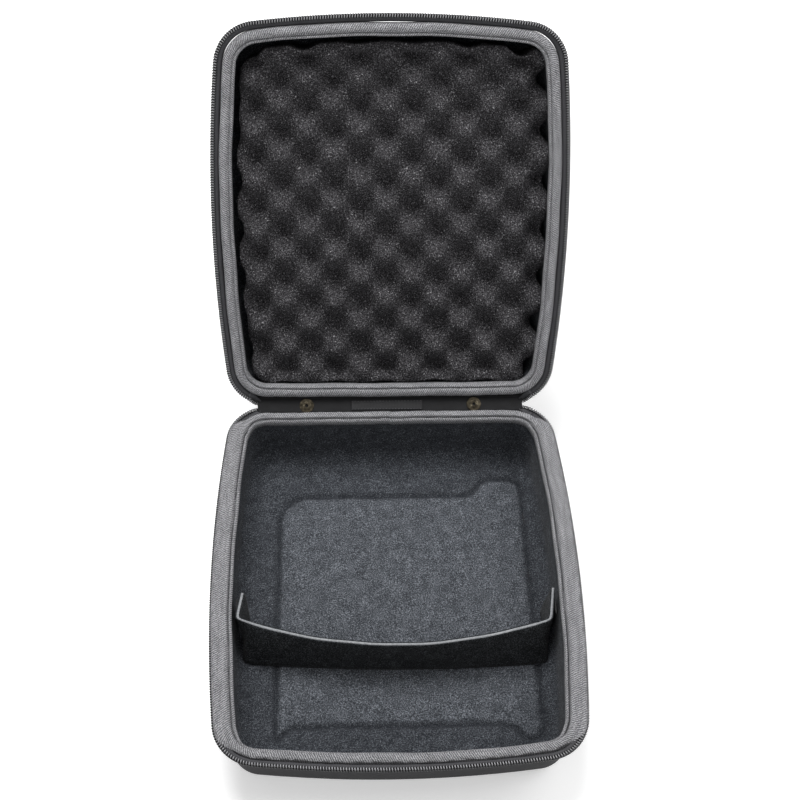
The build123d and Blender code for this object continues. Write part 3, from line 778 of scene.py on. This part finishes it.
def bridgeRun(half, sign):
    # from the corner of a half, where its zip ends, to the slider's mouth
    points, normals, _ = rimAt(zipper["coilAside"], zipper["coilStep"], zipped=True)
    start = Vector(placed(half, sign * points[0][0], points[0][1], zipper["coilHigh"]))
    onward = halves[half]["rear"] * normals[0][0] - right * sign * normals[0][1]
    aside = spineUp * zipEnds["mouthGap"] * (-1 if half == "base" else 1)
    mouth = right * sign * zipEnds["mouthX"] - spineIn * zipEnds["sliderOut"] + aside
    end = spineMid + mouth / 1000
    inward = right * -sign
    lead = zipEnds["lead"] / 1000
    t = np.linspace(0, 1, zipEnds["points"])[:, None]
    p0, p1, p2, p3 = [np.array(v) for v in (start, start + onward * lead, end - inward * lead, end)]
    line = (1 - t) ** 3 * p0 + 3 * (1 - t) ** 2 * t * p1 + 3 * (1 - t) * t ** 2 * p2 + t ** 3 * p3
    ahead = headings(line)
    upFrom = np.array(halves[half]["up"])
    upTo = np.array(spineUp) * (1 if half == "base" else -1)
    up = (1 - t) * upFrom + t * upTo
    up -= ahead * (up * ahead).sum(1)[:, None]
    up /= np.linalg.norm(up, axis=1)[:, None]
    side = np.cross(up, ahead) * (1 if (half == "base") == (sign < 0) else -1)
    return (line, side, up, lengthsAlong(line) * 1000), start, end, onward


for half in halves:
    for label, sign in (("left", -1), ("right", 1)):
        run, start, end, onward = bridgeRun(half, sign)
        bodies = (half, "spine", start, end) if half == "base" else ("spine", "lid", end, start)
        coil = coilPiece(half + "_zip_bridge_teeth_" + label, run, 0.0, 0.0, coilNylon)
        dressed(coil, bodies, "zip_coil")
        run[0][0] -= np.array(onward) * zipEnds["tuck"] / 1000  # tucks under the end of the tape on the rim
        tape = sweepAlong(half + "_zip_bridge_tape_" + label, run, zipEnds["tape"], tapeCloth)
        dressed(tape, bodies, "zip_tape")

for label, sign in (("left", -1), ("right", 1)):
    origin = spineMid - spineIn * (zipEnds["sliderOut"] / 1000)
    run = straightRun(sign * zipEnds["chainFrom"], sign * zipEnds["chainTo"], zipEnds["rowStep"], origin,
                      spineUp, spineIn)
    teeth = [coilPiece("chain_teeth_%s_%d" % (label, k), run, way * zipEnds["rowAside"], 0.0, coilNylon)
             for k, way in enumerate((-1, 1))]
    for part in teeth:
        dressed(part, "spine", "zip_coil")
    wing = rounded(zipEnds["backWide"], zipEnds["backThick"], zipEnds["backRound"], 2)
    back = straightRun(sign * zipEnds["backFrom"], sign * zipEnds["chainTo"], zipEnds["backStep"],
                       spineMid - spineIn * zipEnds["backOut"] / 1000, spineUp, spineIn)
    tape = sweepAlong("zip_end_tape_" + label, back, filled(wing, zipEnds["backStep"]), tapeCloth)
    dressed(tape, "spine", "zip_tape", "zip_end_" + label)
print("zip ends made")


# ---- spine and hinge cloth ----
hinge = {
    "halfLong": 111.0, "stripHalfLong": 115.0, "spineHigh": 11.4, "spineThick": 1.9, "step": 2.0,
    # down the rear wall's outside, round under the binding, over to the spine: (y, height) at mid cloth
    "strip": [(148.3, -22.5), (148.9, -16.0), (149.45, -11.6), (150.6, -9.9), (151.5, -8.6), (151.75, -7.4),
              (152.2, -6.6), (153.0, -6.35), (154.2, -5.9), (155.4, -5.2)],
    "stripThick": 0.9, "stripStep": 1.5, "cornerFrom": 98.6, "spineEnd": 95.5, "shy": (1.1, 0.65),
    "halfSide": (151.6, -7.2), "spineSide": 0.8,
}


def thickLine(points, thick):
    points = np.asarray(points, float)
    ahead = headings(points)
    away = np.stack([-ahead[:, 1], ahead[:, 0]], 1) * thick / 2
    return np.concatenate([points + away, (points - away)[::-1]])


def hingeWobble(s, q):
    # past the ends of the spine the cloth follows the round corner of the rim and stops short of the sliders
    x = np.abs(s - hinge["stripHalfLong"])
    turn = case["corner"] - np.sqrt(case["corner"] ** 2 - np.clip(x - hinge["cornerFrom"], 0, 25) ** 2)
    count = len(hinge["strip"])
    order = np.concatenate([np.arange(count), np.arange(count)[::-1]])[None, :]
    wallward = np.clip((7 - order) / 3, 0, 1)
    past = np.clip((x - hinge["spineEnd"]) / 1.5, 0, 1) * (order == count - 1)
    a = ripple(s + q, [(13, 0.05), (29, 0.07)], 43) - turn * wallward - hinge["shy"][0] * past
    return a, -hinge["shy"][1] * past


spineRun = straightRun(-hinge["halfLong"], hinge["halfLong"], hinge["step"], spineMid, spineUp, spineIn)
spineEdge = filled(rounded(hinge["spineHigh"], hinge["spineThick"], 0.7), 1.2)
spineCloth = sweepAlong("spine_cloth", spineRun, spineEdge, packCloth,
                        wobble=lambda s, q: (0 * s * q, ripple(s + 2 * q, [(9, 0.04), (23, 0.06)], 41)))
dressed(spineCloth, "spine", "hinge_fabric", "spine_inner_fabric", "spine_stiffener", "spine_outer_fabric")
for half in halves:
    place = halves[half]
    run = straightRun(-hinge["stripHalfLong"], hinge["stripHalfLong"], hinge["stripStep"], place["origin"],
                      place["rear"], place["up"])
    strip = sweepAlong(half + "_hinge_cloth", run, thickLine(hinge["strip"], hinge["stripThick"]), packCloth,
                       wobble=hingeWobble)
    halfSide = Vector(placed(half, 0, *hinge["halfSide"]))
    onto = spineUp * hinge["spineSide"] / 1000
    spineSide = foldA + onto if half == "base" else foldB - onto
    bodies = ("base", "spine", halfSide, spineSide) if half == "base" else ("spine", "lid", spineSide, halfSide)
    dressed(strip, bodies, "hinge_fabric", half + "_hinge_leaf")
print("hinge cloth made")


# ---- woven label, sewn down along both long edges ----
label = {"halfLong": 30.0, "shift": -3.0, "high": 8.0, "thick": 0.5, "stitch": 2.0, "stitchGap": 0.6,
         "threadRadius": 0.15, "proud": 1.28, "seamAside": 3.3, "seamHigh": 0.28}
labelOrigin = spineMid + spineIn * label["proud"] / 1000
labelRun = straightRun(label["shift"] - label["halfLong"], label["shift"] + label["halfLong"], 1.0, labelOrigin,
                       spineUp, spineIn)
labelEdge = filled(rounded(label["high"], label["thick"], 0.2, 2), 0.8)
labelPiece = sweepAlong("blank_label", labelRun, labelEdge, labelCloth,
                        wobble=lambda s, q: (0 * s * q, ripple(s + 0 * q, [(19, 0.05), (37, 0.05)], 51)))
dressed(labelPiece, "spine", "woven_label", "spine_label")
labelStitches = []
for k, way in enumerate((-1, 1)):
    labelStitches.append(stitchRow("label_stitches_%d" % k, labelRun, way * label["seamAside"],
                                   label["seamHigh"], label, thread))
    dressed(labelStitches[-1], "spine", "woven_label")
print("label made")


# ---- egg-crate foam ----
foam = {
    "grid": 1.6, "inset": 10.0, "shiftX": 2.8, "shiftY": 1.2, "frontGap": 3.5, "wallGap": 0.6,
    "pitchX": 41.3, "rowY": 19.9, "phaseX": -6.6, "phaseY": -9.3,
    "peakHigh": -6.5, "valleyHigh": -24.0, "backHigh": -42.8,
    # near its cut edge the pad bulges, pockets between the bumps and droops a little
    "edgeBand": 9.0, "pocket": 8.0, "endLift": 0.75, "droop": 2.2,
}


def liningAt(half, depth):
    # how far out from the wall the lining's face lies at a depth
    facts = lining[half]
    slope = math.tan(math.radians(case["draftDeg"]))
    bend = facts["depth"] - facts["edge"]
    centre = -facts["inset"] - (bend - case["rimDrop"]) * slope - facts["edge"]
    straight = -facts["inset"] - (depth - case["rimDrop"]) * slope
    curved = centre + np.sqrt(np.clip(facts["edge"] ** 2 - np.clip(depth - bend, 0, None) ** 2, 0, None))
    return np.where(depth > bend, curved, straight)


def foamPiece():
    facts = foam
    inset = facts["inset"] + facts["frontGap"] * np.clip(-rimNormals[:, 1:], 0, 1) ** 4
    line = rimPoints - rimNormals * inset
    xs = np.arange(-126, 126.1, facts["grid"])
    ys = np.arange(-142, 142.1, facts["grid"])
    x, y = np.meshgrid(xs, ys, indexing="ij")
    flat = np.stack([x.ravel(), y.ravel()], 1)
    nearest = np.empty(len(flat), int)
    for a in range(0, len(flat), 2000):
        block = flat[a:a + 2000]
        nearest[a:a + 2000] = ((block[:, None, :] - line[None]) ** 2).sum(2).argmin(1)
    inside = -((flat - line[nearest]) * rimNormals[nearest]).sum(1)
    outside = inside < 0

    def height(px, py):
        u = 2 * math.pi * (px - facts["phaseX"]) / facts["pitchX"]
        v = math.pi * (py - facts["phaseY"]) / facts["rowY"]
        wave = np.cos(u) * np.cos(v)
        both = 0.5 + 0.5 * wave
        return facts["valleyHigh"] + (facts["peakHigh"] - facts["valleyHigh"]) * both, both

    quads = ringFaces(*x.shape, joinCols=False)
    quads = quads[(~outside[quads]).sum(1) >= 2]
    spots = flat.copy()
    spots[outside] = line[nearest[outside]]
    h, both = height(spots[:, 0], spots[:, 1])
    h = h + 0.35 * ripple(spots[:, 0] + spots[:, 1] * 0.3, [(53, 1), (89, 1)], 61)
    soften = np.clip(inside / 5.0, 0, 1)
    h = h - facts["droop"] * (1 - soften) ** 2
    # the two end edges are squeezed between the walls, which closes the hollows there
    atEdge = np.clip(1 - inside / facts["edgeBand"], 0, 1)
    ends = atEdge * rimNormals[nearest][:, 1] ** 2
    h = h + facts["endLift"] * (facts["peakHigh"] - facts["valleyHigh"]) * (1 - both) * ends
    bulge = (1.0 - facts["pocket"] * np.clip(0.55 - both, 0, 1) / 0.55) * atEdge
    spots = spots + rimNormals[nearest] * bulge[:, None]
    used = np.unique(quads)
    renumber = np.full(len(flat), -1)
    renumber[used] = np.arange(len(used))
    work = bmesh.new()
    made = [work.verts.new((spots[k, 0], spots[k, 1], h[k])) for k in used]
    for quad in renumber[quads].tolist():
        work.faces.new([made[k] for k in quad])
    bmesh.ops.dissolve_degenerate(work, dist=0.02, edges=work.edges)
    rim = [e for e in work.edges if len(e.link_faces) == 1]
    for level in (0.33, 0.7, 1.0):
        out = bmesh.ops.extrude_edge_only(work, edges=rim)["geom"]
        for vert in [g for g in out if isinstance(g, bmesh.types.BMVert)]:
            vert.co.z = vert.co.z + (facts["backHigh"] - vert.co.z) * (0.35 if level < 1 else 1.0)
        rim = [g for g in out if isinstance(g, bmesh.types.BMEdge)]
    bmesh.ops.holes_fill(work, edges=rim, sides=0)
    bmesh.ops.recalc_face_normals(work, faces=work.faces)
    data = bpy.data.meshes.new("egg_crate_foam_pad")
    work.to_mesh(data)
    work.free()
    co = np.array([v.co for v in data.vertices]) + (facts["shiftX"], facts["shiftY"], 0)
    nearest = np.concatenate([((part[:, None, :2] - rimPoints[None]) ** 2).sum(2).argmin(1)
                              for part in np.array_split(co, 24)])
    out = ((co[:, :2] - rimPoints[nearest]) * rimNormals[nearest]).sum(1)
    spare = np.clip(out - (liningAt("lid", -co[:, 2]) - facts["wallGap"]), 0, None)
    co[:, :2] -= rimNormals[nearest] * spare[:, None]
    row = placed("lid", co[:, 0], co[:, 1], co[:, 2])
    data.vertices.foreach_set("co", row.ravel())
    data.flip_normals()
    data.polygons.foreach_set("use_smooth", [True] * len(data.polygons))
    data.materials.append(foamCut)
    piece = bpy.data.objects.new("egg_crate_foam_pad", data)
    bpy.context.scene.collection.objects.link(piece)
    dressed(piece, "lid", "egg_crate_foam", "lid_foam")


foamPiece()
print("foam made")


# ---- divider: grey board between two fleece skins, a flap folded back at each end ----
divider = {
    "low": {"left": (-117.0, -50.0), "mid": (2.5, -57.0), "right": (116.0, -54.0), "flap": -12.0,
            "lean": (1.5, 0.5)},
    "high": {"left": (-121.0, -32.5), "mid": (1.5, -56.0), "right": (116.9, -37.0), "flap": -10.5,
             "lean": (3.4, 4.1)},
    "lowZ": 7.6, "flapLowZ": 9.4, "highZ": 45.6, "across": 170, "foldRadius": 5.0,
    "skins": {"front": (0.95, 1.75), "rear": (-1.75, -0.95)}, "core": 0.93,
}


def dividerLine(facts):
    left, mid, rightEnd = facts["left"], facts["mid"], facts["right"]
    centre, radius = circleThrough(left, mid, rightEnd)
    a0 = math.atan2(left[1] - centre[1], left[0] - centre[0])
    a1 = math.atan2(rightEnd[1] - centre[1], rightEnd[0] - centre[0])
    arc = [centre + radius * np.array([math.cos(a), math.sin(a)]) for a in np.linspace(a0, a1, 200)]
    part = np.linspace(0, 1, 30)[1:]
    leftLean, rightLean = facts["lean"]
    points = [np.array([left[0] - 0.6 + leftLean * t, left[1] + (facts["flap"] - left[1]) * t])
              for t in part[::-1]]
    points += arc
    points += [np.array([rightEnd[0] + 0.6 + rightLean * t, rightEnd[1] + (facts["flap"] - rightEnd[1]) * t])
               for t in part]
    s = lengthsAlong(points)
    fine = sampled(np.linspace(0, s[-1], 900), s, points)
    window = int(divider["foldRadius"] / (s[-1] / 900))
    kernel = np.hanning(2 * window + 1)
    kernel /= kernel.sum()
    padded = np.pad(fine, ((window, window), (0, 0)), mode="reflect", reflect_type="odd")
    smooth = np.stack([np.convolve(padded[:, k], kernel, "valid") for k in (0, 1)], 1)
    pick = np.linspace(0, len(smooth) - 1, divider["across"])
    return sampled(pick, np.arange(len(smooth)), smooth)


dividerLow, dividerHigh = dividerLine(divider["low"]), dividerLine(divider["high"])


def dividerLayer(name, near, far, topBulge, mat):
    # a closed slab: up one face, over the top, down the other
    levels = np.linspace(0, 1, 14)
    up = [(v, far) for v in levels]
    down = [(v, near) for v in levels[::-1]]
    mid = (near + far) / 2
    profile = up + [(1.0 + topBulge * 0.7, far * 0.75 + mid * 0.25), (1.0 + topBulge, mid),
                    (1.0 + topBulge * 0.7, near * 0.75 + mid * 0.25)] + down
    ahead = headings((dividerLow + dividerHigh) / 2)
    away = np.stack([ahead[:, 1], -ahead[:, 0]], 1)
    s = lengthsAlong(dividerLow)
    flapward = np.clip((np.abs(dividerLow[:, 0]) - 100) / 14, 0, 1)
    lowZ = divider["lowZ"] + (divider["flapLowZ"] - divider["lowZ"]) * flapward
    verts = []
    for v, off in profile:
        spot = dividerLow * (1 - v) + dividerHigh * v
        warp = 0.5 * ripple(s + 30 * v, [(71, 1), (133, 1)], 71) * math.sin(math.pi * min(1, v))
        spot = spot + away * (off + warp)[:, None]
        z = lowZ * (1 - v) + divider["highZ"] * v + 0.35 * ripple(s, [(47, 1), (101, 1)], 72) * v
        verts.append(np.concatenate([spot, z[:, None]], 1))
    verts = np.stack(verts, 1) / 1000
    n, m = verts.shape[:2]
    return meshPiece(name, verts.reshape(-1, 3), capped(ringFaces(n, m), n, m), mat)


board = dividerLayer("divider_board_edge", -divider["core"], divider["core"], 0.012, boardEdge)
dressed(board, "divider", "divider_foam_board", "divider_board")
for side, (near, far) in divider["skins"].items():
    skin = dividerLayer("divider_%s_fleece" % side, near, far, 0.006, dividerFleecePaintedShade)
    dressed(skin, "divider", "fleece_lining", "divider_%s_skin" % side)
print("divider made")


# ---- carry handle: webbing strap and ribbed rubber grip ----
handle = {
    "footEnd": 81.0, "foot": 58.0, "top": 34.0, "rise": 25.0, "wide": 12.0, "thick": 2.1, "low": 2.1,
    "gripHalf": 42.0, "gripWide": 19.6, "gripThick": 6.8, "ribEvery": 5.2, "ribDeep": 0.5,
}


def handleRun():
    facts = handle
    t = np.linspace(0, 1, 26)
    ease = t * t * (3 - 2 * t)
    rise = [(-facts["foot"] + (facts["foot"] - facts["top"]) * a, facts["low"] + facts["rise"] * b)
            for a, b in zip(t, ease)]
    path = [(-facts["footEnd"], facts["low"])] + rise
    path += [(-x, h) for x, h in path[::-1]]
    s = lengthsAlong(path)
    at = np.arange(0, s[-1], 1.6)
    line = sampled(at, s, path)
    ahead = headings(line)
    out = -np.array(spineIn)
    centre = np.array(spineMid) + line[:, :1] / 1000 * np.array(right) + line[:, 1:] / 1000 * out
    up = -ahead[:, 1:] * np.array(right) + ahead[:, :1] * out
    return centre, np.tile(np.array(spineUp), (len(at), 1)), up, at


strapEdge = filled(rounded(handle["wide"], handle["thick"], 0.8, 3), 1.0)
strap = sweepAlong("handle_webbing_strap", handleRun(), strapEdge, webbing)
dressed(strap, "spine", "handle_webbing", "handle_strap")

gripRun = straightRun(-handle["gripHalf"], handle["gripHalf"], 0.65,
                      spineMid - spineIn * ((handle["low"] + handle["rise"]) / 1000), spineUp, spineIn)
gripLong = 2 * handle["gripHalf"]
gripEdge = filled(rounded(handle["gripWide"], handle["gripThick"], 2.6, 5), 0.9)


def gripWobble(s, q):
    toEnd = np.minimum(s, gripLong - s)
    pinch = np.sqrt(np.clip(1 - (1 - np.clip(toEnd / 3.0, 0, 1)) ** 2, 0.02, 1)) - 1
    ribs = -handle["ribDeep"] * (0.5 + 0.5 * np.cos(2 * math.pi * (s - gripLong / 2) / handle["ribEvery"])) ** 3
    ribs = ribs * (toEnd > 7)
    a, b = gripEdge[:, 0][None, :], gripEdge[:, 1][None, :]
    return a * (0.35 * pinch + ribs / 9), b * (0.7 * pinch + ribs / 3.4)


grip = sweepAlong("handle_ribbed_grip", gripRun, gripEdge, rubber, wobble=gripWobble)
dressed(grip, "spine", "handle_rubber", "handle_grip")
print("handle made")


# ---- floor, light and camera ----
studio = {
    "floorHalf": 3.0, "world": ("#ffffff", 0.40),
    "lights": {
        "keyPanel": {"at": (-0.25, 0.60, 1.65), "size": 0.8, "watts": 27.0},
        "fillPanel": {"at": (1.00, 0.10, 1.40), "size": 0.9, "watts": 8.0},
        "frontPanel": {"at": (-0.7, -1.5, 1.1), "size": 1.2, "watts": 3.0},
    },
    "aim": (0.0, 0.06, 0.06),
}
camera = {"at": (-0.0371, -0.5086, 0.9664), "pitchDown": 0.93305, "yaw": 0.06728, "roll": 0.0440, "lens": 60.53}

reach = studio["floorHalf"]
floorCorners = [(-reach, -reach, 0), (reach, -reach, 0), (reach, reach, 0), (-reach, reach, 0)]
floorData = bpy.data.meshes.new("floor")
floorData.from_pydata(floorCorners, [], [(0, 1, 2, 3)])
floorData.materials.append(opalAcrylicCast())
floor = bpy.data.objects.new("floor", floorData)
bpy.context.scene.collection.objects.link(floor)

world = bpy.data.worlds.new("studioWorld")
world.use_nodes = True
world.node_tree.nodes["Background"].inputs["Color"].default_value = srgb(studio["world"][0])
world.node_tree.nodes["Background"].inputs["Strength"].default_value = studio["world"][1]
bpy.context.scene.world = world
bpy.context.scene.view_settings.view_transform = "Standard"  # hex colours come out as written
for lightName, facts in studio["lights"].items():
    lamp = bpy.data.lights.new(lightName, "AREA")
    lamp.size, lamp.energy = facts["size"], facts["watts"]
    holder = bpy.data.objects.new(lightName, lamp)
    holder.location = facts["at"]
    holder.rotation_euler = (Vector(studio["aim"]) - holder.location).to_track_quat("-Z", "Y").to_euler()
    bpy.context.scene.collection.objects.link(holder)

pitch, yaw, roll = camera["pitchDown"], camera["yaw"], camera["roll"]
ahead = Vector((math.sin(yaw) * math.cos(pitch), math.cos(yaw) * math.cos(pitch), -math.sin(pitch)))
level = Vector((math.cos(yaw), -math.sin(yaw), 0))
above = level.cross(ahead)
camX = level * math.cos(roll) + above * math.sin(roll)
camY = above * math.cos(roll) - level * math.sin(roll)
camData = bpy.data.cameras.new("camera")
camData.lens, camData.sensor_width = camera["lens"], 36.0
camObject = bpy.data.objects.new("camera", camData)
camObject.matrix_world = Matrix.Translation(camera["at"]) @ Matrix((camX, camY, -ahead)).transposed().to_4x4()
bpy.context.scene.collection.objects.link(camObject)
bpy.context.scene.camera = camObject
print("studio made")
